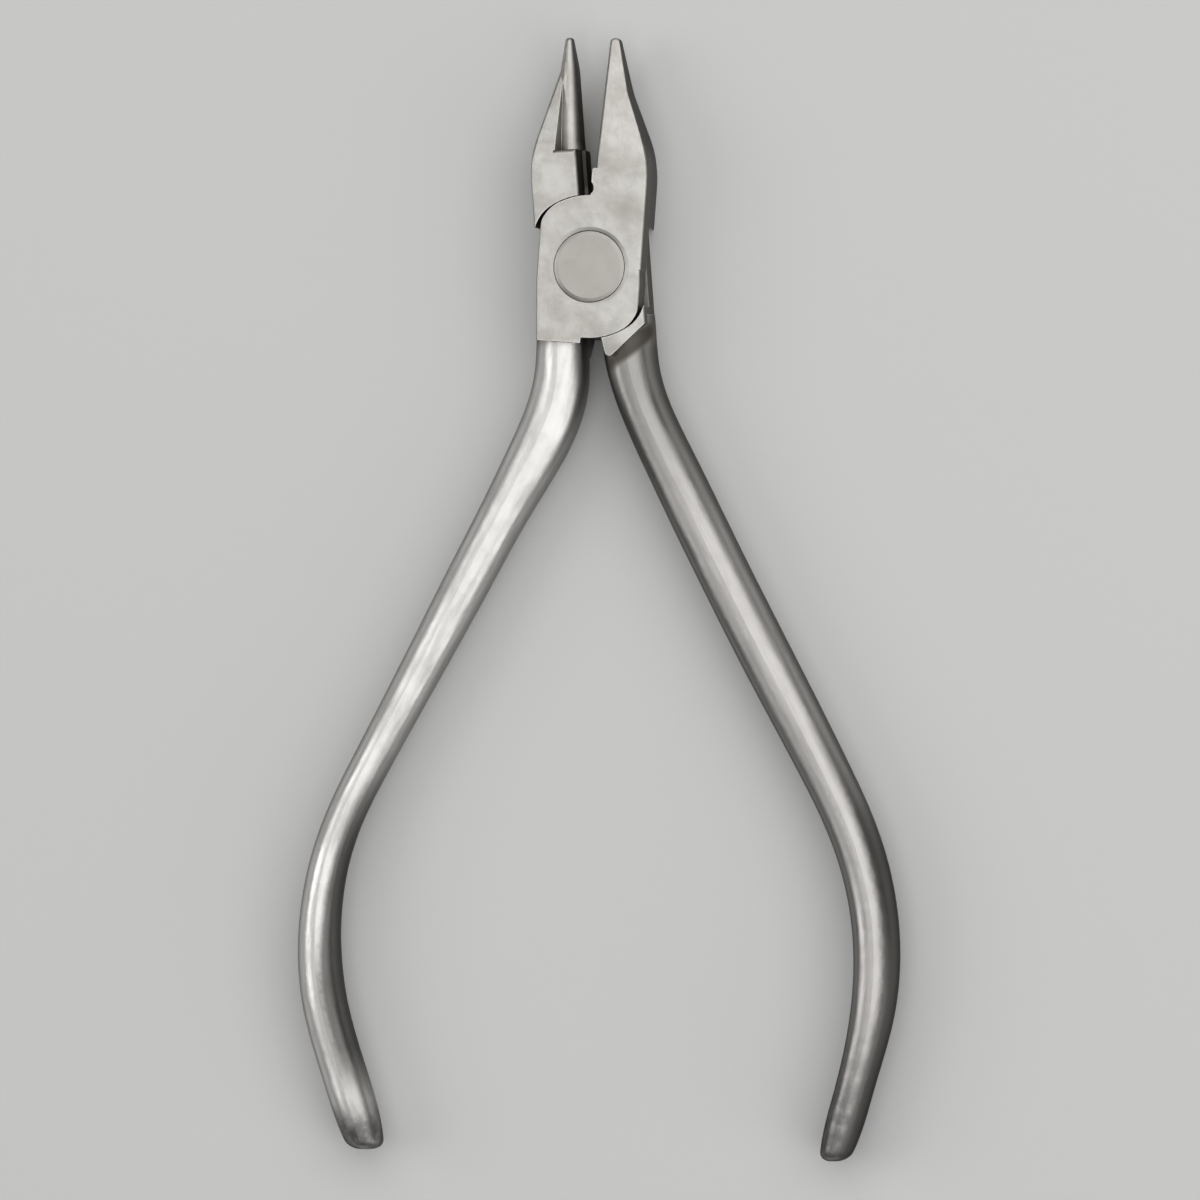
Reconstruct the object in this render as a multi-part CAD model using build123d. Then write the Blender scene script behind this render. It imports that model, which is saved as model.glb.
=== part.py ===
from build123d import *
import math
import os

# Orthodontic bird-beak pliers with a lap joint, in millimetres.
# The pliers lie on their back face. +Y points to the beak tips, +Z out of the front face.
# The origin is on the pivot axis, in the back face of the joint.
# Both halves are drawn in the closed pose, with the jaw plane at X = 0, and then turned open.

# Joint: two laps that turn on one shouldered screw
joint_depth = 8.6
joint_half_width = 6.05
lap_radius = 8.25
lap_corner_round = 4.0
lap_side_margin = 0.05
claw_height = 5.0
lap_gap = 0.04
seam_gap = 0.08
edge_round = 0.3
rest_half_angle = 4.15

# Root of the beaks and the slit under it, where a step of the front half reaches past the jaw plane
jaw_gap = 0.03
interlock = 0.42
step_height = 11.4
relief_radius = 0.85
relief_height = 9.05
relief_inset = 0.1
step_round = 0.25

# Beaks: a flat-faced pyramid on the front half, a stepped cone on the rear half
beak_height = 26.7
beak_shoulder_height = 12.9
beak_shoulder_round = 15.0
beak_break_share = 0.547
beak_break_half_width = 2.87
beak_break_round = 8.0
tip_width = 1.15
tip_outer_round = 0.55
tip_inner_round = 0.5
slope_start_height = 13.5
pyramid_tip_depth = 1.3
slope_start_round = 6.0

cone_overreach = 0.15
cone_shoulder_height = 13.7
cone_root_radius = 1.62
cone_neck_radius = 1.12
cone_neck_drop = 3.75
cone_tip_radius = 0.46
cone_neck_round = 14.0
cone_tip_round = 0.4
web_wall_share = 0.84
web_floor_share = 0.72
web_slant = 0.5
web_tip_depth = 0.7
block_edge_round = 0.5
block_inset = 0.09

# Handles: one bent centreline for both, with a flat-backed oval section that changes along it
handle_shift = 0.42
crotch_gap = 0.04
handle_root_height = 6.0
handle_root_offset = 3.1
handle_root_angle = 1.5
handle_root_run = 4.2
elbow_radius = 30.0
elbow_angle = 22.0
shank_run = 44.9
palm_radius = 40.0
palm_angle = 43.5
front_end_run = 11.2
rear_end_run = 12.0
handle_width = 6.3
handle_depth = 8.0
handle_sway = 0.5
handle_end_round = 1.5
end_round_angles = (30, 55, 75)
end_twist_angle = 16.0
station_shares = (0, 0.06, 0.12, 0.17, 0.23, 0.32, 0.43, 0.55, 0.65, 0.75, 0.85, 0.93, 1)
front_width_shares = (1, 1, 1.04, 0.99, 0.89, 0.84, 0.77, 0.70, 0.69, 0.77, 0.85, 0.86, 0.74)
rear_width_shares = (0.98, 0.95, 0.91, 0.93, 0.95, 0.95, 0.95, 0.90, 0.88, 0.87, 0.82, 0.73, 0.63)
front_sway_shares = (0, 0, -0.45, -0.35, -0.1, 0.1, 0.3, 0.65, 0.7, 0.5, 0, -0.5, -0.7)
rear_sway_shares = (0, 0, 0.7, 0.65, 0.3, -0.15, -0.35, -0.4, -0.6, -0.3, 0, 0.3, 0.35)
depth_shares = (1, 0.99, 0.96, 0.94, 0.92, 0.89, 0.86, 0.84, 0.83, 0.82, 0.80, 0.77, 0.72)
twist_shares = (0, 0, 0, 0, 0, 0, 0, 0.05, 0.2, 0.5, 0.85, 1, 1)
outer_round_share = 0.56
inner_round_share = 0.82
crown_round_share = 0.60

# Flat root of the handle: it ends square on the lap side and slanted on the other
root_square_height = 8.9
root_slant_outer_height = 7.0
root_slant_inner_height = 10.9
root_setback_top = 0.36
root_setback_bottom = 0.8
root_corner_round = 0.5
front_root_lean_angle = 4.0
front_root_lean_height = 2.0

# Pivot screw: flush head, shoulder that the front half turns on, threaded end in the rear half
head_radius = 4.1
head_depth = 1.6
head_rim = 0.42
head_rim_depth = 0.12
shoulder_radius = 3.0
thread_radius = 2.4
running_gap = 0.03
head_gap = 0.06
thread_gap = 0.01
end_chamfer = 0.2

# Length by which cutting shapes run past what they cut, and the closeness that finds an edge
overrun = 2.0
match_length = 0.01

mid_depth = joint_depth / 2


def handle_path(end_run):
    """Centreline of a handle on the left side, from inside the joint to the handle's end."""
    start = (-handle_root_offset, -handle_root_height)
    heading = math.radians(handle_root_angle)
    down = (-math.sin(heading), -math.cos(heading))
    root = Line(start, (start[0] + handle_root_run * down[0], start[1] + handle_root_run * down[1]))
    elbow = JernArc(root @ 1, root % 1, elbow_radius, -elbow_angle)
    shank_start = elbow @ 1
    shank = Line(shank_start, shank_start + (elbow % 1) * shank_run)
    palm = JernArc(shank @ 1, shank % 1, palm_radius, palm_angle)
    end_start = palm @ 1
    end = Line(end_start, end_start + (palm % 1) * end_run)
    return Wire([root, elbow, shank, palm, end])


def handle_section(path, share, sway, width, depth, twist):
    """Oval across the handle: round on the palm side, flatter on the side that faces the other handle."""
    along = path.tangent_at(share)
    outward = Vector(along.Y, -along.X, 0)
    middle = path.position_at(share) + outward * sway
    plane = Plane(origin=middle, x_dir=outward, z_dir=along).rotated((0, 0, -twist))
    half_width = width / 2
    half_depth = depth / 2
    outer = (half_width, 0)
    front = (0, half_depth)
    inner = (-half_width, 0)
    back = (0, -half_depth)
    outer_pull = outer_round_share * half_depth
    inner_pull = inner_round_share * half_depth
    crown_pull = crown_round_share * half_width
    edges = [
        Bezier(outer, (half_width, outer_pull), (crown_pull, half_depth), front),
        Bezier(front, (-crown_pull, half_depth), (-half_width, inner_pull), inner),
        Bezier(inner, (-half_width, -inner_pull), (-crown_pull, -half_depth), back),
        Bezier(back, (crown_pull, -half_depth), (half_width, -outer_pull), outer),
    ]
    return plane * make_face(edges)


def handle(end_run, width_shares, sway_shares):
    """Handle lofted through oval sections along the centreline, drawn in to a rounded end."""
    path = handle_path(end_run)
    stations = zip(station_shares, sway_shares, width_shares, depth_shares, twist_shares)
    sections = [
        handle_section(
            path, station, handle_sway * sway, handle_width * width, handle_depth * depth,
            end_twist_angle * twist,
        )
        for station, sway, width, depth, twist in stations
    ]
    end_sway = handle_sway * sway_shares[-1]
    end_width = handle_width * width_shares[-1]
    end_depth = handle_depth * depth_shares[-1]
    for angle in end_round_angles:
        forward = handle_end_round * math.sin(math.radians(angle))
        inset = 2 * handle_end_round * (1 - math.cos(math.radians(angle)))
        section = handle_section(path, 1, end_sway, end_width - inset, end_depth - inset, end_twist_angle)
        sections.append(Pos(path.tangent_at(1) * forward) * section)
    return Pos(0, 0, mid_depth) * loft(sections)


def outline_face(points):
    """Flat face inside a closed line of straight runs."""
    return make_face(Polyline(*points, close=True))


def round_corners(face, rounds):
    """Rounds the corners of a flat face that are nearest to the given places."""
    for place, radius in rounds:
        corner = face.vertices().sort_by_distance(place)[0]
        face = fillet(corner, radius)
    return face


def prism(face, bottom, top):
    """Solid over a flat face, from one height to another."""
    return Pos(0, 0, bottom) * extrude(face, amount=top - bottom)


def depth_wedge(tip_depth, tip_height):
    """Side profile of a beak: full depth up to the shoulder, then sloping in to its end."""
    reach = joint_half_width + overrun
    points = [
        (0, -overrun, 0),
        (0, slope_start_height, 0),
        (0, tip_height, mid_depth - tip_depth / 2),
        (0, tip_height, mid_depth + tip_depth / 2),
        (0, slope_start_height, joint_depth),
        (0, -overrun, joint_depth),
    ]
    return Pos(-reach, 0, 0) * extrude(outline_face(points), amount=2 * reach, dir=(1, 0, 0))


def runs_along_side(edge):
    """True for an edge between a beak's outer side and its front or back."""
    direction = edge % 0.5
    return edge.center().X > tip_width / 2 and abs(direction.Y) > max(abs(direction.X), abs(direction.Z))


def flat_beak(outline, tip_depth, tip_height):
    """Block and beak with flat sloping faces, an eased crease between them and rounded outer edges."""
    body = prism(outline, 0, joint_depth) & depth_wedge(tip_depth, tip_height)
    cross_edges = body.edges().filter_by(Axis.X)
    creases = [edge for edge in cross_edges if abs(edge.center().Y - slope_start_height) < match_length]
    body = fillet(creases, slope_start_round)
    rims = [edge for edge in body.edges() if runs_along_side(edge)]
    return fillet(rims, edge_round)


def pyramid_beak():
    """Block and beak of the front half, on the right side: flat on every side."""
    shoulder = (joint_half_width, beak_shoulder_height)
    break_height = beak_shoulder_height + (beak_height - beak_shoulder_height) * beak_break_share
    break_point = (beak_break_half_width, break_height)
    tip_outer = (jaw_gap + tip_width, beak_height)
    tip_inner = (jaw_gap, beak_height)
    start = (joint_half_width, 0)
    outline = outline_face([(jaw_gap, 0), start, shoulder, break_point, tip_outer, tip_inner])
    outline = round_corners(outline, [
        (shoulder, beak_shoulder_round),
        (break_point, beak_break_round),
        (tip_outer, tip_outer_round),
        (tip_inner, tip_inner_round),
    ])
    return flat_beak(outline, pyramid_tip_depth, beak_height)


def cone(neck_height, tip_height):
    """Round beak with its inner side straight along the jaw plane."""
    lean = math.atan((cone_root_radius - cone_neck_radius) / (neck_height - cone_shoulder_height))
    neck = (cone_neck_radius, (neck_height - cone_shoulder_height) / math.cos(lean))
    tip = (cone_tip_radius, (tip_height - cone_shoulder_height) / math.cos(lean))
    profile = outline_face([
        (0, -cone_root_radius),
        (cone_root_radius, -cone_root_radius),
        (cone_root_radius, 0),
        neck,
        tip,
        (0, tip[1]),
    ])
    profile = round_corners(profile, [(neck, cone_neck_round), (tip, cone_tip_round)])
    seat = Pos(jaw_gap + cone_root_radius, cone_shoulder_height, mid_depth)
    body = seat * Rot(0, 0, math.degrees(lean)) * revolve(profile, Axis.Y)
    side = joint_half_width
    foot = cone_shoulder_height
    top = tip_height + overrun
    above = outline_face([(-side, foot), (side, foot), (side, top), (-side, top)])
    return body & prism(above, 0, joint_depth)


def web_pocket(height, cone_slope):
    """Section across the beak of the hollow between the cone and the front face of the web."""
    radius = cone_root_radius - cone_slope * (height - cone_shoulder_height)
    floor = mid_depth - web_floor_share * radius
    foot = jaw_gap + 2 * radius * web_wall_share
    points = [
        (jaw_gap + radius, height, floor),
        (foot, height, floor),
        (foot + web_slant, height, -overrun),
        (jaw_gap + radius, height, -overrun),
    ]
    return outline_face(points)


def block(inner, outer, face, middle):
    """Inner part of the rear half's block, eased round its inner and upper edges on one face."""
    width = outer - inner
    depth = abs(middle - face)
    centre = Pos((inner + outer) / 2, cone_shoulder_height / 2, (face + middle) / 2)
    body = centre * Box(width, cone_shoulder_height, depth)
    rim = [edge for edge in body.edges() if abs(edge.center().Z - face) < match_length]
    inner_edge = sorted(rim, key=lambda edge: edge.center().X)[0]
    upper_edge = sorted(rim, key=lambda edge: edge.center().Y)[-1]
    return fillet([inner_edge, upper_edge], block_edge_round)


def cone_web(neck_height, foot):
    """Flat-faced rest of the block that stands beside the cone and carries it, hollowed down to it."""
    shoulder = (joint_half_width, beak_shoulder_height)
    tip_outer = (jaw_gap + 2 * cone_neck_radius, neck_height)
    outline = outline_face([(jaw_gap, 0), (joint_half_width, 0), shoulder, tip_outer, (jaw_gap, neck_height)])
    outline = round_corners(outline, [(shoulder, beak_shoulder_round)])
    body = flat_beak(outline, web_tip_depth, neck_height)
    cone_slope = (cone_root_radius - cone_neck_radius) / (neck_height - cone_shoulder_height)
    inner = outline_face([
        (-overrun, -overrun),
        (foot, -overrun),
        (foot, cone_shoulder_height),
        (jaw_gap + cone_root_radius, cone_shoulder_height),
        (jaw_gap + cone_neck_radius, neck_height),
        (jaw_gap + cone_neck_radius, neck_height + overrun),
        (-overrun, neck_height + overrun),
    ])
    web = body - prism(inner, -overrun, joint_depth + overrun)
    pocket = loft([
        web_pocket(cone_shoulder_height, cone_slope),
        web_pocket(neck_height + overrun, cone_slope),
    ], ruled=True)
    return web - pocket - mirror(pocket, Plane.XY.offset(mid_depth))


def cone_beak():
    """Block and beak of the rear half, on the right side: a recessed block, a cone and its web."""
    tip_height = beak_height + cone_overreach
    neck_height = tip_height - cone_neck_drop
    foot = jaw_gap + 2 * cone_root_radius * web_wall_share + web_slant
    ledge = mid_depth + lap_gap / 2
    blocks = block(interlock + seam_gap, foot, 0, ledge) + block(block_inset, foot, joint_depth, ledge)
    return cone_web(neck_height, foot) + blocks + cone(neck_height, tip_height)


def lap_outline(gap, free_side):
    """Outline of a lap: a disc cut to the joint's width, its corners rounded on its free side."""
    half_width = joint_half_width + lap_side_margin + gap
    disc = Circle(lap_radius + gap) & Rectangle(2 * half_width, 2 * (lap_radius + overrun))
    corner_height = math.sqrt((lap_radius + gap) ** 2 - half_width ** 2)
    beak_corner = (free_side * half_width, corner_height)
    root_corner = (-free_side * half_width, -corner_height)
    corner_round = lap_corner_round + gap
    return round_corners(disc.face(), [(beak_corner, corner_round), (root_corner, corner_round)])


def joint_stock():
    """Bar with rounded long edges that the flat sides of the joint are cut from."""
    section = Plane.XZ * RectangleRounded(2 * joint_half_width, joint_depth, edge_round)
    reach = root_slant_inner_height + overrun
    return Pos(0, 0, mid_depth) * extrude(section, amount=reach, both=True)


def leaned_stock():
    """The same bar, leaned about a point of its left side so that the root narrows downward."""
    pivot = Pos(-joint_half_width, -front_root_lean_height, 0)
    return pivot * Rot(0, 0, front_root_lean_angle) * pivot.inverse() * joint_stock()


def lap_plate():
    """Lap that turns on the screw, without the quarter that its own block fills."""
    side = joint_half_width + overrun
    top = lap_radius + overrun
    inner = joint_half_width / 2
    own_block = outline_face([(inner, 0), (side, 0), (side, top), (inner, top)])
    return prism(lap_outline(0, -1) - own_block, mid_depth, joint_depth)


def jaw_step():
    """Step of the front half that reaches past the jaw plane and closes the slit under the jaws."""
    points = [
        (-interlock, 0),
        (joint_half_width / 2, 0),
        (joint_half_width / 2, step_height),
        (-interlock, step_height),
    ]
    outline = round_corners(outline_face(points), [((-interlock, step_height), step_round)])
    return prism(outline, mid_depth + lap_gap / 2, joint_depth)


def slit_relief():
    """Round relief at the foot of the slit."""
    relief = Pos(-relief_radius - relief_inset, relief_height) * Circle(relief_radius)
    return prism(relief, mid_depth, joint_depth + overrun)


def handle_root(shift):
    """Full-depth root between the joint and the round handle: square on the lap side, slanted behind."""
    side = -joint_half_width
    inner = shift - crotch_gap - root_setback_top
    foot = shift - crotch_gap - root_setback_bottom
    square = outline_face([
        (inner, 0),
        (side, 0),
        (side, -root_square_height),
        (foot, -root_square_height),
    ])
    slant = outline_face([
        (inner, 0),
        (side, 0),
        (side, -root_slant_outer_height),
        (foot, -root_slant_inner_height),
        (inner, -lap_radius),
    ])
    square = round_corners(square, [((side, -root_square_height), root_corner_round)])
    slant = round_corners(slant, [((foot, -root_slant_inner_height), root_corner_round)])
    return prism(square, mid_depth, joint_depth) + prism(slant, 0, mid_depth)


def other_side(shift):
    """Space of the other half: over the recess of its lap and past the crotch."""
    outline = lap_outline(seam_gap, 1) + Rectangle(2 * (joint_half_width + overrun), 2 * claw_height)
    recess = prism(outline, -overrun, mid_depth + lap_gap / 2)
    inner = shift - crotch_gap
    side = joint_half_width + overrun
    foot = -root_slant_inner_height - handle_root_run
    quarter = outline_face([(inner, 0), (side, 0), (side, foot), (inner, foot)])
    crotch = prism(quarter - Circle(lap_radius), -overrun, joint_depth + overrun)
    return recess + crotch


def half(beak, stock, shift, round_handle):
    """One half in the closed pose, as the front half lies: beak right, lap in front, handle left."""
    joint = (lap_plate() + handle_root(shift)) & stock
    solid = beak + joint + Pos(shift, 0, 0) * round_handle
    return solid - other_side(shift)


def turned_over(shape):
    """The same shape turned over about the length of the pliers."""
    return Pos(0, 0, joint_depth) * Rot(0, 180, 0) * shape


def screw_seat():
    """Bore and counterbore for the screw's shoulder and head, with a broken rim."""
    floor = joint_depth - head_depth - running_gap
    hole = head_radius + head_gap
    profile = Polyline(
        (0, 0, mid_depth - overrun),
        (shoulder_radius + running_gap, 0, mid_depth - overrun),
        (shoulder_radius + running_gap, 0, floor),
        (hole, 0, floor),
        (hole, 0, joint_depth - head_rim_depth),
        (hole + head_rim, 0, joint_depth),
        (hole + head_rim, 0, joint_depth + overrun),
        (0, 0, joint_depth + overrun),
        close=True,
    )
    return revolve(make_face(profile), Axis.Z)


def pivot_screw():
    """Screw with a flush head, a shoulder that stands on the rear lap, and a threaded end."""
    seat = mid_depth - lap_gap / 2
    profile = Polyline(
        (0, 0, 0),
        (thread_radius - end_chamfer, 0, 0),
        (thread_radius, 0, end_chamfer),
        (thread_radius, 0, seat),
        (shoulder_radius, 0, seat),
        (shoulder_radius, 0, joint_depth - head_depth),
        (head_radius, 0, joint_depth - head_depth),
        (head_radius, 0, joint_depth - head_rim_depth),
        (head_radius - head_rim, 0, joint_depth),
        (0, 0, joint_depth),
        close=True,
    )
    return revolve(make_face(profile), Axis.Z)


def thread_seat():
    """Hole of the screw's threaded end, broken at the back face."""
    hole = thread_radius + thread_gap
    profile = Polyline(
        (0, 0, -overrun),
        (hole + end_chamfer + overrun, 0, -overrun),
        (hole, 0, end_chamfer),
        (hole, 0, mid_depth + overrun),
        (0, 0, mid_depth + overrun),
        close=True,
    )
    return revolve(make_face(profile), Axis.Z)


def front_half():
    """Pyramid beak with its step, front lap and left handle."""
    grip = handle(front_end_run, front_width_shares, front_sway_shares)
    beak = pyramid_beak() + jaw_step()
    body = half(beak, joint_stock() & leaned_stock(), handle_shift, grip)
    return Rot(0, 0, -rest_half_angle) * (body - slit_relief() - screw_seat())


def rear_half():
    """Cone beak, rear lap and right handle."""
    grip = handle(rear_end_run, rear_width_shares, rear_sway_shares)
    body = turned_over(half(cone_beak(), joint_stock(), -handle_shift, grip))
    return Rot(0, 0, rest_half_angle) * (body - thread_seat())


def main():
    os.makedirs("parts", exist_ok=True)
    pieces = {
        "front_half": front_half(),
        "rear_half": rear_half(),
        "pivot_screw": pivot_screw(),
    }
    for name, piece in pieces.items():
        export_step(piece, f"parts/{name}.step")


main()
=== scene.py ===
import bpy
import math
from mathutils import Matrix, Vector

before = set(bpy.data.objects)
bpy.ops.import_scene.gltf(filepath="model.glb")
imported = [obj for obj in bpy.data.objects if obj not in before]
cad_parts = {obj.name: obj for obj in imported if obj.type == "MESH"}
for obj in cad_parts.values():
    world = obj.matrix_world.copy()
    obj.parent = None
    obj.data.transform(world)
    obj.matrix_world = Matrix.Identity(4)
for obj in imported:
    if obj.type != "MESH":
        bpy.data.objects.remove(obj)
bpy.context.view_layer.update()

MM = 0.001

# Photograph: 1200 pixels square, seen square on to the joint but 8.5 degrees from the right
IMAGE_SIZE = 1200
PIVOT_PIXEL = (594.5, 268)
PIXEL_SIZE = 0.1159 * MM
CAMERA_YAW = math.radians(8.5)
CAMERA_DISTANCE = 0.9
CLIP_START = 0.01
SENSOR_WIDTH = 36
JOINT_DEPTH = 8.6 * MM

# Directions of the handles: the leans are from the Y axis, and the palm part bends round a centre
ROOT_LEAN = math.radians(10)
SHANK_LEAN = math.radians(27)
PALM_CENTRE = (7.8 * MM, -79.3 * MM, 0)
PALM_RADIUS = 40 * MM

# Zones along Y or X: each fades from 0 at its first place to 1 at its second
ELBOW_ZONE = (-26 * MM, -12 * MM)
PALM_ZONE = (-56 * MM, -64 * MM)
ROOT_ZONE = (-32 * MM, -14 * MM)
JOINT_ZONE = (-9.6 * MM, -8.2 * MM)
JAW_ZONE = (12 * MM, 15 * MM)
RIGHT_ZONE = (-48 * MM, -69 * MM)
RIGHT_END_ZONE = (-98 * MM, -90 * MM)
RIGHT_SHIFT_ZONE = (-70 * MM, -86 * MM)
JAW_SHADE_EDGE = (-3.4 * MM, -2.4 * MM)

# Places of painted shade marks, in the jaws' slit and as a painted shadow under the rear lap's corner, each
# with its reach along X, Y and Z; a mark fades in over REACH_FADE of its reach
SLIT_CENTRE = (-1.2 * MM, 11.4 * MM, 2.6 * MM)
SLIT_REACH = (2.0 * MM, 3.6 * MM, 5.0 * MM)
ROOT_SHADOW_CENTRE = (4.75 * MM, -9.15 * MM, 7.0 * MM)
ROOT_SHADOW_REACH = (4.8 * MM, 1.4 * MM, 3.2 * MM)
ROOT_SHADOW_TURN = math.radians(43)
ROOT_SHADOW_TOP = (8.5 * MM, 8.35 * MM)
REACH_FADE = (1.0, 0.55)
LAP_FACE_BAND = (0.4 * MM, 0.15 * MM)
RING_RADIUS = 4.1 * MM
RING_WIDTH = 0.75 * MM

# Edges and hollows that the shader finds by itself
EDGE_WIDTH = 0.28 * MM
EDGE_SOFTNESS = 0.12 * MM
EDGE_SAMPLES = 6
EDGE_BENDS = (0.99, 0.85)
# Hollows found by occlusion set where dirt and painted shade go
HOLLOW_REACH = 2.5 * MM
HOLLOW_SAMPLES = 8
HOLLOW_OPENNESS = (0.45, 0.05)

# Slopes: the range of a coordinate of the normal over which a share goes from 0 to 1
STEEP_SLOPES = (0.75, 0.25)
RIGHT_SLOPES = (0.12, 0.55)
LEFT_SLOPES = (0.3, 0.7)

# Colours, linear
STEEL_COLOUR = (0.76, 0.75, 0.73)
# The rear half's steel and root tones are darker, shaded copies of the front's steel: painted shade
SHADED_STEEL_COLOUR = (0.53, 0.515, 0.50)
SHADED_ROOT_COLOUR = (0.36, 0.35, 0.335)
JOINT_COLOUR = (0.56, 0.548, 0.515)
JOINT_SHADE = (0.42, 0.405, 0.37)
STAIN_COLOUR = (0.40, 0.385, 0.36)
# Darker in patches towards a handle's end
END_DARK_COLOUR = (0.16, 0.155, 0.15)
# Painted shade on steep walls and on flanks, by how they face
PAINTED_SHADE_COLOUR = (0.10, 0.097, 0.092)
WORN_COLOUR = (0.80, 0.79, 0.775)
# Dirt and painted shade in hollows and between parts
GRIME_AND_SHADE_COLOUR = (0.09, 0.08, 0.068)
GRAZING_TINT = (0.35, 0.35, 0.35)
FLOOR_COLOUR = (0.64, 0.64, 0.635)
WORLD_COLOUR = (0.5, 0.5, 0.5)

# Noise: stretch along the steel's grain, scale, detail and roughness
BRUSHED = (0.035, 5200, 4, 0.6)
STREAKS = (0.14, 950, 4, 0.6)
GROUND = (0.12, 4200, 3, 0.6)
BLASTED = (1, 3600, 3, 0.6)
HAMMERED = (0.6, 1250, 4, 0.65)
CLOUD = (1, 190, 4, 0.6)
PATCHES = (1, 640, 3, 0.55)
SCREW_PATCHES = (1, 520, 3, 0.55)
SCREW_RINGS = {"Scale": 1100, "Distortion": 1.2, "Detail": 2, "Detail Scale": 1.5}

# Shares of a colour: the first two numbers are a range of noise, the last two the shares at its ends
CLOUD_STAIN = (0.42, 0.72, 0, 0.25)
STREAK_STAIN = (0.45, 0.7, 0, 0.35)
END_DARK_PATCHES = (0.3, 0.65, 0.55, 0.95)
JOINT_DULLNESS = (0.35, 0.7, 0, 1)
JOINT_MOTTLE = (0.42, 0.75, 0, 0.45)
EDGE_WEAR = (0.3, 0.6, 0.35, 1)
SCREW_STAIN = (0.4, 0.75, 0.25, 0.5)

# Plain shares; the steep, jaw side and right shares are of painted shade, the grime shares of dirt with
# painted shade
JOINT_STEEP_SHARE = 0.65
JAW_SIDE_SHARE = 0.85
RIGHT_SHARES = (0.1, 0.92)
WORN_SHARE = 0.7
RING_SHARE = 0.6
JAW_GRIME_AND_SHADE_SHARE = 0.35
LAP_GRIME_AND_SHADE_SHARE = 0.6
GRIME_AND_SHADE_SHARE = 0.9
SCREW_WORN_SHARE = 0.3
SCREW_RING_SHARE = 0.35
SCREW_GRIME_AND_SHADE_SHARE = 0.7

# Roughness: a range of noise and the roughness at its ends, or a plain roughness
CLOUD_ROUGHNESS = (0.3, 0.75, 0.27, 0.36)
STREAK_ROUGHNESS = (0.35, 0.7, 0.04, 0.14)
JOINT_ROUGHNESS = (0.3, 0.75, 0.38, 0.48)
JAW_ROUGHNESS = (0.3, 0.7, 0.30, 0.40)
WORN_ROUGHNESS = 0.24
GRIME_ROUGHNESS = 0.6
SCREW_WORN_ROUGHNESS = 0.28
FLOOR_ROUGHNESS = 0.9
FLOOR_SPECULAR = 0.2

# Bumps: strength and depth
BRUSHED_BUMP = (0.40, 0.03 * MM)
STREAK_BUMP = (0.20, 0.08 * MM)
BLASTED_BUMP = (0.30, 0.03 * MM)
HAMMERED_BUMP = (0.30, 0.08 * MM)
GROUND_BUMP = (0.20, 0.03 * MM)
CLOUD_BUMP = (0.12, 0.15 * MM)
SCREW_RING_BUMP = (0.12, 0.02 * MM)
SCREW_PATCH_BUMP = (0.08, 0.1 * MM)

# The two halves: side is that of the handle; the rear half's steel and root tones are darker, shaded copies
# of the front's steel (painted shade), and the shares paint shade on surfaces by how they face
HALVES = {
    "front_half": {
        "material": "front_steel", "side": -1, "steel": STEEL_COLOUR, "root_tone": STEEL_COLOUR,
        "steep_share": 0.35, "left_share": 0, "right_end_share": 0.3, "right_shift": 0.32,
        "end_zone": (-96 * MM, -100 * MM), "root_shadow": False,
    },
    "rear_half": {
        "material": "rear_steel", "side": 1, "steel": SHADED_STEEL_COLOUR, "root_tone": SHADED_ROOT_COLOUR,
        "steep_share": 0.7, "left_share": 0.55, "right_end_share": 1, "right_shift": 0,
        "end_zone": (-82 * MM, -100 * MM), "root_shadow": True,
    },
}

# Stage, in metres; each lamp has its place, the point that it faces, its size and its power in watts
FLOOR_HALF_WIDTH = 1.5
FLOOR_LEVEL = -0.01 * MM
WORLD_STRENGTH = 0.3
LAMPS = {
    "top": ((0.40, 0.80, 1.0), (0.40, 0.80, 0), (2.2, 1.4), 11.9),
    "top_right": ((0.35, -0.25, 1.0), (0.35, -0.25, 0), (1.3, 0.7), 3.5),
    "key": ((-1.0, 0, 0.75), (0, -0.04, 0), (0.7, 0.7), 3.1),
    "fill": ((0.85, -0.5, 0.5), (0, -0.06, 0), (0.8, 0.8), 2.6),
}


def rgba(colour):
    """Colour with full alpha."""
    return (*colour, 1)


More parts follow.
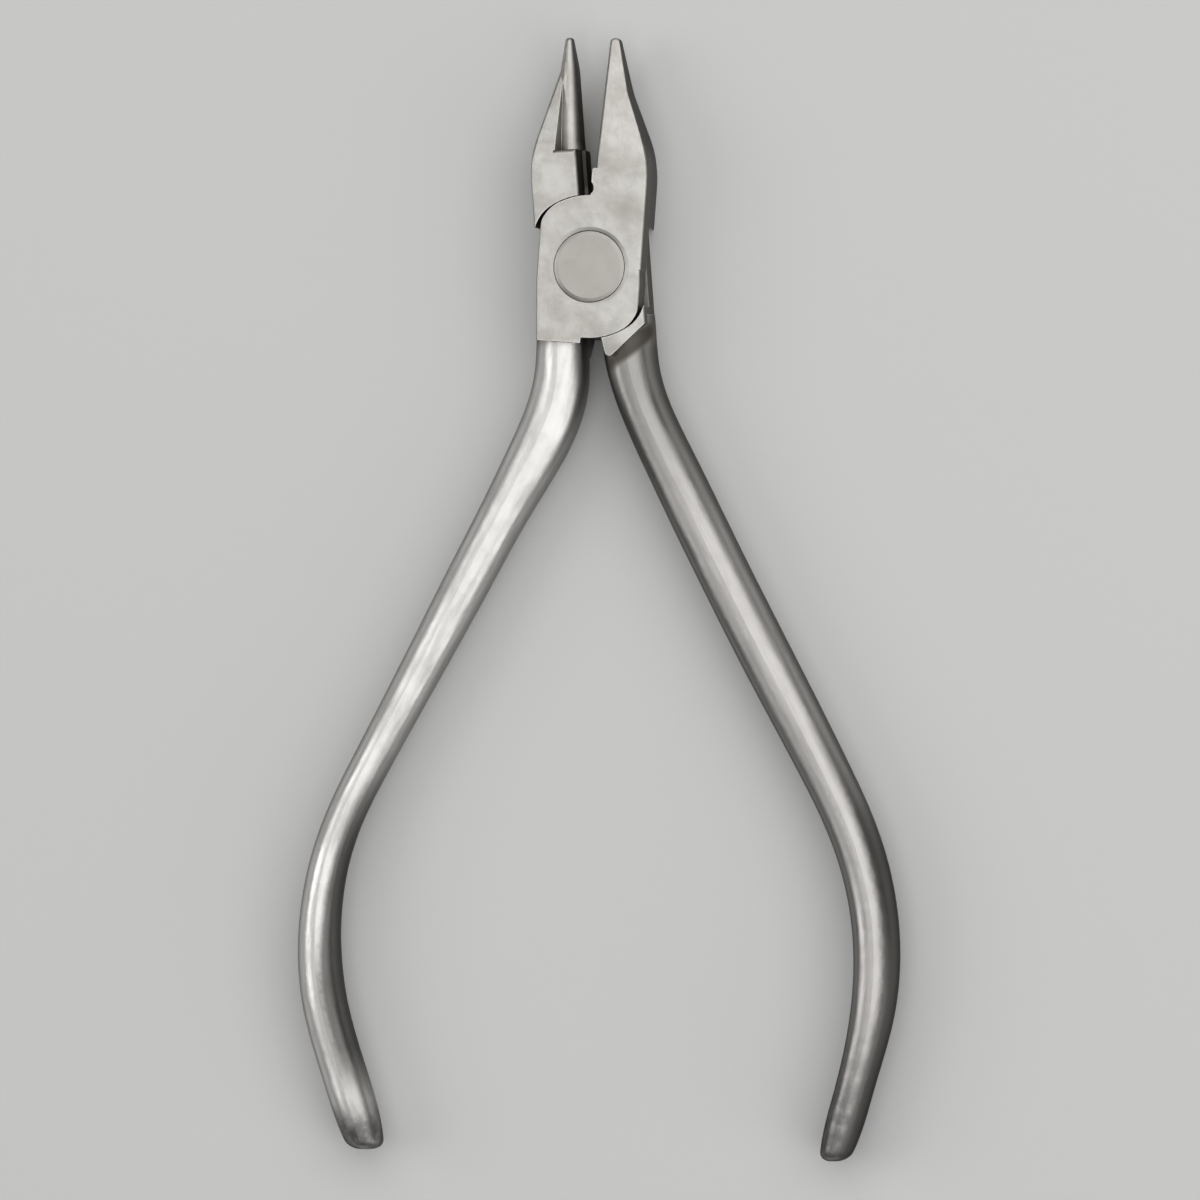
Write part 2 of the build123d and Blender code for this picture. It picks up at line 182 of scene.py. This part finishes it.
class Shader:
    """Short names for building one node material."""

    def __init__(self, name):
        self.material = bpy.data.materials.new(name)
        self.material.use_nodes = True
        self.nodes = self.material.node_tree.nodes
        self.links = self.material.node_tree.links
        self.nodes.clear()

    def node(self, kind, **settings):
        """New node; plain settings are attributes of the node."""
        made = self.nodes.new("ShaderNode" + kind)
        for name, value in settings.items():
            setattr(made, name, value)
        return made

    def set(self, socket, value):
        """Links a socket to another node's socket, or writes a plain value on it."""
        if isinstance(value, bpy.types.NodeSocket):
            self.links.new(value, socket)
        else:
            socket.default_value = value

    def math(self, operation, first, second=0.0):
        """Result of a math node on two values."""
        made = self.node("Math", operation=operation)
        self.set(made.inputs[0], first)
        self.set(made.inputs[1], second)
        return made.outputs[0]

    def times(self, first, second):
        """Product of two values."""
        return self.math("MULTIPLY", first, second)

    def most(self, first, second):
        """Larger of two values."""
        return self.math("MAXIMUM", first, second)

    def span(self, value, low, high, start=0.0, end=1.0):
        """Value spread smoothly from one range onto another."""
        made = self.node("MapRange", interpolation_type="SMOOTHSTEP")
        self.set(made.inputs["Value"], value)
        self.set(made.inputs["From Min"], low)
        self.set(made.inputs["From Max"], high)
        self.set(made.inputs["To Min"], start)
        self.set(made.inputs["To Max"], end)
        return made.outputs["Result"]

    def mix(self, share, first, second):
        """Blend of two colours."""
        made = self.node("Mix", data_type="RGBA")
        self.set(made.inputs["Factor"], share)
        self.set(made.inputs["A"], first)
        self.set(made.inputs["B"], second)
        return made.outputs["Result"]

    def blend(self, share, first, second):
        """Blend of two numbers."""
        made = self.node("Mix", data_type="FLOAT")
        self.set(made.inputs["Factor"], share)
        self.set(made.inputs["A"], first)
        self.set(made.inputs["B"], second)
        return made.outputs["Result"]

    def coordinates(self):
        """Object coordinates."""
        return self.node("TexCoord").outputs["Object"]

    def along(self, axis):
        """One object coordinate."""
        split = self.node("SeparateXYZ")
        self.links.new(self.coordinates(), split.inputs[0])
        return split.outputs[axis]

    def own_normal(self):
        """Surface's normal in the piece's own space, so that it turns with the piece."""
        own = self.node("VectorTransform", vector_type="NORMAL", convert_from="WORLD", convert_to="OBJECT")
        self.links.new(self.node("NewGeometry").outputs["Normal"], own.inputs["Vector"])
        return own.outputs["Vector"]

    def facing_along(self, axis):
        """One coordinate of that normal."""
        split = self.node("SeparateXYZ")
        self.links.new(self.own_normal(), split.inputs[0])
        return split.outputs[axis]

    def place(self, lean, stretch):
        """Object coordinates, turned about the Z axis and stretched along Y."""
        turned = self.node("Mapping")
        self.links.new(self.coordinates(), turned.inputs["Vector"])
        turned.inputs["Rotation"].default_value = (0, 0, lean)
        scaled = self.node("Mapping")
        self.links.new(turned.outputs["Vector"], scaled.inputs["Vector"])
        scaled.inputs["Scale"].default_value = (1, stretch, 1)
        return scaled.outputs["Vector"]

    def place_round(self, centre, stretch):
        """Coordinates bent round a centre: across the arc, along it, and height."""
        moved = self.node("Mapping", vector_type="TEXTURE")
        self.links.new(self.coordinates(), moved.inputs["Vector"])
        moved.inputs["Location"].default_value = centre
        split = self.node("SeparateXYZ")
        self.links.new(moved.outputs["Vector"], split.inputs[0])
        x, y, z = split.outputs
        squares = self.math("ADD", self.times(x, x), self.times(y, y))
        angle = self.math("ARCTAN2", x, self.times(y, -1.0))
        bent = self.node("CombineXYZ")
        self.set(bent.inputs[0], self.math("SQRT", squares))
        self.set(bent.inputs[1], self.times(angle, PALM_RADIUS * stretch))
        self.set(bent.inputs[2], z)
        return bent.outputs[0]

    def noise(self, place, scale, detail, rough):
        """Noise between 0 and 1."""
        made = self.node("TexNoise")
        self.links.new(place, made.inputs["Vector"])
        made.inputs["Scale"].default_value = scale
        made.inputs["Detail"].default_value = detail
        made.inputs["Roughness"].default_value = rough
        return made.outputs["Fac"]

    def grain(self, stretch, *settings):
        """Noise drawn out along Y."""
        return self.noise(self.place(0, stretch), *settings)

    def handle_grain(self, side, stretch, *settings):
        """Noise drawn out along the handle: down its root, its straight shank and its bent palm part."""
        root = self.noise(self.place(-side * ROOT_LEAN, stretch), *settings)
        shank = self.noise(self.place(-side * SHANK_LEAN, stretch), *settings)
        centre = (-side * PALM_CENTRE[0], PALM_CENTRE[1], PALM_CENTRE[2])
        palm = self.noise(self.place_round(centre, stretch), *settings)
        height = self.along("Y")
        upper = self.blend(self.span(height, *ELBOW_ZONE), shank, root)
        return self.blend(self.span(height, *PALM_ZONE), upper, palm)

    def edges(self):
        """1 on sharp edges and 0 on smooth faces."""
        rounded = self.node("Bevel", samples=EDGE_SAMPLES)
        rounded.inputs["Radius"].default_value = EDGE_WIDTH
        product = self.node("VectorMath", operation="DOT_PRODUCT")
        self.links.new(rounded.outputs["Normal"], product.inputs[0])
        self.links.new(self.node("NewGeometry").outputs["Normal"], product.inputs[1])
        return self.span(product.outputs["Value"], *EDGE_BENDS)

    def steepness(self):
        """1 on upright walls and 0 on faces that look up or down."""
        return self.span(self.math("ABSOLUTE", self.facing_along("Z")), *STEEP_SLOPES)

    def facing(self, sign, shift, slopes):
        """1 on surfaces that face +X (sign 1) or -X (sign -1); a shift takes in those that face up."""
        turned = self.times(self.facing_along("X"), sign)
        return self.span(self.math("ADD", turned, shift), *slopes)

    def lap_faces(self):
        """1 on the flat faces at mid depth, where one half slides on the other."""
        rise = self.math("ABSOLUTE", self.math("SUBTRACT", self.along("Z"), JOINT_DEPTH / 2))
        level = self.span(rise, *LAP_FACE_BAND)
        return self.times(level, self.math("SUBTRACT", 1.0, self.steepness()))

    def screw_ring(self):
        """1 on the soft darker ring round the screw's edge."""
        flat = self.node("VectorMath", operation="MULTIPLY")
        self.links.new(self.coordinates(), flat.inputs[0])
        flat.inputs[1].default_value = (1, 1, 0)
        length = self.node("VectorMath", operation="LENGTH")
        self.links.new(flat.outputs["Vector"], length.inputs[0])
        away = self.math("ABSOLUTE", self.math("SUBTRACT", length.outputs["Value"], RING_RADIUS))
        return self.span(away, RING_WIDTH, 0.0)

    def near(self, centre, reach, turn=0.0):
        """1 at a place of the object and 0 past its reach, which is turned about the Z axis."""
        moved = self.node("Mapping", vector_type="TEXTURE")
        self.links.new(self.coordinates(), moved.inputs["Vector"])
        moved.inputs["Location"].default_value = centre
        moved.inputs["Rotation"].default_value = (0, 0, turn)
        moved.inputs["Scale"].default_value = reach
        length = self.node("VectorMath", operation="LENGTH")
        self.links.new(moved.outputs["Vector"], length.inputs[0])
        return self.span(length.outputs["Value"], *REACH_FADE)

    def hollows(self):
        """1 deep in hollows of the same piece and 0 on open faces."""
        made = self.node("AmbientOcclusion", samples=HOLLOW_SAMPLES, only_local=True)
        made.inputs["Distance"].default_value = HOLLOW_REACH
        return self.span(made.outputs["AO"], *HOLLOW_OPENNESS)

    def bumps(self, layers):
        """Normal with several bump layers, each a height, where it is (None is everywhere) and its bump."""
        soft = self.node("Bevel", samples=EDGE_SAMPLES)
        soft.inputs["Radius"].default_value = EDGE_SOFTNESS
        normal = soft.outputs["Normal"]
        for height, where, (strength, depth) in layers:
            bump = self.node("Bump")
            self.set(bump.inputs["Strength"], strength if where is None else self.times(where, strength))
            bump.inputs["Distance"].default_value = depth
            self.links.new(height, bump.inputs["Height"])
            self.links.new(normal, bump.inputs["Normal"])
            normal = bump.outputs["Normal"]
        return normal

    def metal(self, colour, roughness, normal):
        """Finishes the material as bare metal, with its mirroring at grazing angles held back."""
        shader = self.node("BsdfPrincipled")
        shader.inputs["Metallic"].default_value = 1
        shader.inputs["Specular Tint"].default_value = rgba(GRAZING_TINT)
        self.set(shader.inputs["Base Color"], colour)
        self.set(shader.inputs["Roughness"], roughness)
        self.set(shader.inputs["Normal"], normal)
        output = self.node("OutputMaterial")
        self.links.new(shader.outputs["BSDF"], output.inputs["Surface"])
        return self.material


class HalfShader(Shader):
    """Material of one half: brushed handle, blasted joint and ground beak."""

    def __init__(self, look):
        super().__init__(look["material"])
        self.look = look
        self.height = self.along("Y")
        self.joint = self.span(self.height, *JOINT_ZONE)
        self.jaw = self.span(self.height, *JAW_ZONE)
        self.brushed = self.handle_grain(look["side"], *BRUSHED)
        self.streaks = self.handle_grain(look["side"], *STREAKS)
        self.ground = self.grain(*GROUND)
        self.blasted = self.grain(*BLASTED)
        self.hammered = self.grain(*HAMMERED)
        self.cloud = self.grain(*CLOUD)
        self.patches = self.grain(*PATCHES)

    def steel(self):
        """Colour of the steel, with painted shade in the rear half's darker steel and root: stained, darker
        in patches towards the handle's end and duller on the joint.
        """
        # Painted shade: the rear half's root turns to a darker tone
        root = self.span(self.height, *ROOT_ZONE)
        colour = self.mix(root, rgba(self.look["steel"]), rgba(self.look["root_tone"]))
        colour = self.mix(self.span(self.cloud, *CLOUD_STAIN), colour, rgba(STAIN_COLOUR))
        colour = self.mix(self.span(self.streaks, *STREAK_STAIN), colour, rgba(STAIN_COLOUR))
        # Darker in patches towards the handle's end
        end = self.span(self.height, *self.look["end_zone"])
        end_dark = self.times(end, self.span(self.patches, *END_DARK_PATCHES))
        colour = self.mix(end_dark, colour, rgba(END_DARK_COLOUR))
        dull = self.mix(self.span(self.cloud, *JOINT_DULLNESS), rgba(JOINT_COLOUR), rgba(JOINT_SHADE))
        colour = self.mix(self.joint, colour, dull)
        mottle = self.times(self.span(self.patches, *JOINT_MOTTLE), self.joint)
        return self.mix(mottle, colour, rgba(STAIN_COLOUR))

    def painted_side_shade(self):
        """Share of painted shade: on steep walls, and on the beak and handle by how they face."""
        share = self.blend(self.joint, self.look["steep_share"], JOINT_STEEP_SHARE)
        steep = self.times(self.steepness(), share)
        shift = self.span(self.height, *RIGHT_SHIFT_ZONE, 0, self.look["right_shift"])
        right = self.facing(1, shift, RIGHT_SLOPES)
        beak = self.times(right, self.span(self.along("X"), *JAW_SHADE_EDGE))
        sides = self.blend(self.jaw, steep, self.times(beak, JAW_SIDE_SHARE))
        bend = self.times(right, self.span(self.height, *RIGHT_ZONE, *RIGHT_SHARES))
        bend = self.times(bend, self.span(self.height, *RIGHT_END_ZONE, self.look["right_end_share"], 1))
        left = self.times(self.facing(-1, 0, LEFT_SLOPES), self.look["left_share"])
        handle = self.most(sides, self.most(bend, left))
        return self.blend(self.joint, handle, sides)

    def grime_and_shade(self):
        """Dirt and painted shade in hollows, painted shade in the jaws' slit, a painted shadow under the
        rear lap's corner, and dirt with painted shade on the lap faces.
        """
        deep = self.times(self.hollows(), self.blend(self.jaw, 1.0, JAW_GRIME_AND_SHADE_SHARE))
        # Painted shade in the jaws' slit
        grime_and_shade = self.most(deep, self.near(SLIT_CENTRE, SLIT_REACH))
        if self.look["root_shadow"]:
            shadow = self.near(ROOT_SHADOW_CENTRE, ROOT_SHADOW_REACH, ROOT_SHADOW_TURN)
            below_face = self.span(self.along("Z"), *ROOT_SHADOW_TOP)
            grime_and_shade = self.most(grime_and_shade, self.times(shadow, below_face))
        laps = self.times(self.lap_faces(), self.times(self.joint, LAP_GRIME_AND_SHADE_SHARE))
        return self.most(grime_and_shade, laps)

    def satin(self, wear, grime_and_shade):
        """Roughness of each part, smoother where worn and rougher where dirty."""
        cloudy = self.span(self.cloud, *CLOUD_ROUGHNESS)
        handle = self.math("ADD", cloudy, self.span(self.streaks, *STREAK_ROUGHNESS))
        rough = self.blend(self.joint, handle, self.span(self.patches, *JOINT_ROUGHNESS))
        rough = self.blend(self.jaw, rough, self.span(self.ground, *JAW_ROUGHNESS))
        rough = self.blend(wear, rough, WORN_ROUGHNESS)
        return self.blend(grime_and_shade, rough, GRIME_ROUGHNESS)

    def relief(self):
        """Normal with the marks of brushing, blasting, hammering and grinding."""
        handle = self.math("SUBTRACT", 1.0, self.joint)
        return self.bumps([
            (self.brushed, handle, BRUSHED_BUMP),
            (self.streaks, handle, STREAK_BUMP),
            (self.blasted, self.joint, BLASTED_BUMP),
            (self.hammered, self.joint, HAMMERED_BUMP),
            (self.ground, self.jaw, GROUND_BUMP),
            (self.cloud, None, CLOUD_BUMP),
        ])


def half_steel(look):
    """Steel of one half."""
    s = HalfShader(look)
    wear = s.times(s.edges(), s.span(s.patches, *EDGE_WEAR))
    grime_and_shade = s.grime_and_shade()
    # Painted shade on walls and flanks, by how they face
    colour = s.mix(s.painted_side_shade(), s.steel(), rgba(PAINTED_SHADE_COLOUR))
    colour = s.mix(s.times(wear, WORN_SHARE), colour, rgba(WORN_COLOUR))
    colour = s.mix(s.times(s.screw_ring(), RING_SHARE), colour, rgba(STAIN_COLOUR))
    # Dirt and painted shade, deepest in hollows and between parts
    colour = s.mix(s.times(grime_and_shade, GRIME_AND_SHADE_SHARE), colour, rgba(GRIME_AND_SHADE_COLOUR))
    return s.metal(colour, s.satin(wear, grime_and_shade), s.relief())


def screw_steel():
    """Steel of the screw: turned, with fine rings round the pivot axis."""
    s = Shader("screw_steel")
    rings = s.node("TexWave", wave_type="RINGS", rings_direction="Z")
    s.links.new(s.place(0, 1), rings.inputs["Vector"])
    for name, value in SCREW_RINGS.items():
        rings.inputs[name].default_value = value
    patches = s.grain(*SCREW_PATCHES)
    wear = s.edges()
    colour = s.mix(s.span(patches, *SCREW_STAIN), rgba(JOINT_SHADE), rgba(STAIN_COLOUR))
    colour = s.mix(s.times(wear, SCREW_WORN_SHARE), colour, rgba(WORN_COLOUR))
    colour = s.mix(s.times(s.screw_ring(), SCREW_RING_SHARE), colour, rgba(STAIN_COLOUR))
    # Dirt and painted shade in the screw's hollows
    colour = s.mix(s.times(s.hollows(), SCREW_GRIME_AND_SHADE_SHARE), colour, rgba(GRIME_AND_SHADE_COLOUR))
    roughness = s.blend(wear, s.span(patches, *JOINT_ROUGHNESS), SCREW_WORN_ROUGHNESS)
    normal = s.bumps([(rings.outputs["Fac"], None, SCREW_RING_BUMP), (patches, None, SCREW_PATCH_BUMP)])
    return s.metal(colour, roughness, normal)


def floor_paint():
    """Matt pale material of the floor."""
    s = Shader("pale_floor")
    shader = s.node("BsdfPrincipled")
    shader.inputs["Base Color"].default_value = rgba(FLOOR_COLOUR)
    shader.inputs["Roughness"].default_value = FLOOR_ROUGHNESS
    shader.inputs["Specular IOR Level"].default_value = FLOOR_SPECULAR
    s.links.new(shader.outputs["BSDF"], s.node("OutputMaterial").inputs["Surface"])
    return s.material


def set_material(node_name, material):
    """Gives a CAD node one material on every slot."""
    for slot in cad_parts[node_name].material_slots:
        slot.material = material


def add_object(name, data):
    """New object in the scene."""
    made = bpy.data.objects.new(name, data)
    bpy.context.scene.collection.objects.link(made)
    return made


def make_camera():
    """Camera at the photograph's angle, with the pivot on the photograph's pixel."""
    across = (IMAGE_SIZE / 2 - PIVOT_PIXEL[0]) * PIXEL_SIZE / math.cos(CAMERA_YAW)
    up = (PIVOT_PIXEL[1] - IMAGE_SIZE / 2) * PIXEL_SIZE
    target = Vector((across, up, JOINT_DEPTH / 2))
    backward = Vector((math.sin(CAMERA_YAW), 0, math.cos(CAMERA_YAW)))
    data = bpy.data.cameras.new("camera")
    data.sensor_width = SENSOR_WIDTH
    data.lens = SENSOR_WIDTH * CAMERA_DISTANCE / (IMAGE_SIZE * PIXEL_SIZE)
    data.clip_start = CLIP_START
    camera = add_object("camera", data)
    camera.location = target + backward * CAMERA_DISTANCE
    camera.rotation_euler = (0, CAMERA_YAW, 0)
    bpy.context.scene.camera = camera


def make_floor():
    """Plain floor, a hair under the part's flat back."""
    half, level = FLOOR_HALF_WIDTH, FLOOR_LEVEL
    corners = [(-half, -half, level), (half, -half, level), (half, half, level), (-half, half, level)]
    mesh = bpy.data.meshes.new("floor")
    mesh.from_pydata(corners, [], [(0, 1, 2, 3)])
    mesh.materials.append(floor_paint())
    add_object("floor", mesh)


def area_light(name, place, aim, size, power):
    """Rectangular soft lamp that faces a point."""
    data = bpy.data.lights.new(name, "AREA")
    data.shape = "RECTANGLE"
    data.size, data.size_y = size
    data.energy = power
    lamp = add_object(name, data)
    lamp.location = place
    lamp.rotation_euler = (Vector(aim) - Vector(place)).to_track_quat("-Z", "Y").to_euler()


def make_world():
    """Even grey light from all round."""
    world = bpy.data.worlds.new("world")
    world.use_nodes = True
    background = world.node_tree.nodes["Background"]
    background.inputs["Color"].default_value = rgba(WORLD_COLOUR)
    background.inputs["Strength"].default_value = WORLD_STRENGTH
    bpy.context.scene.world = world


for node_name, look in HALVES.items():
    set_material(node_name, half_steel(look))
set_material("pivot_screw", screw_steel())
make_camera()
make_floor()
for lamp_name, settings in LAMPS.items():
    area_light(lamp_name, *settings)
make_world()
bpy.context.scene.view_settings.view_transform = "Standard"
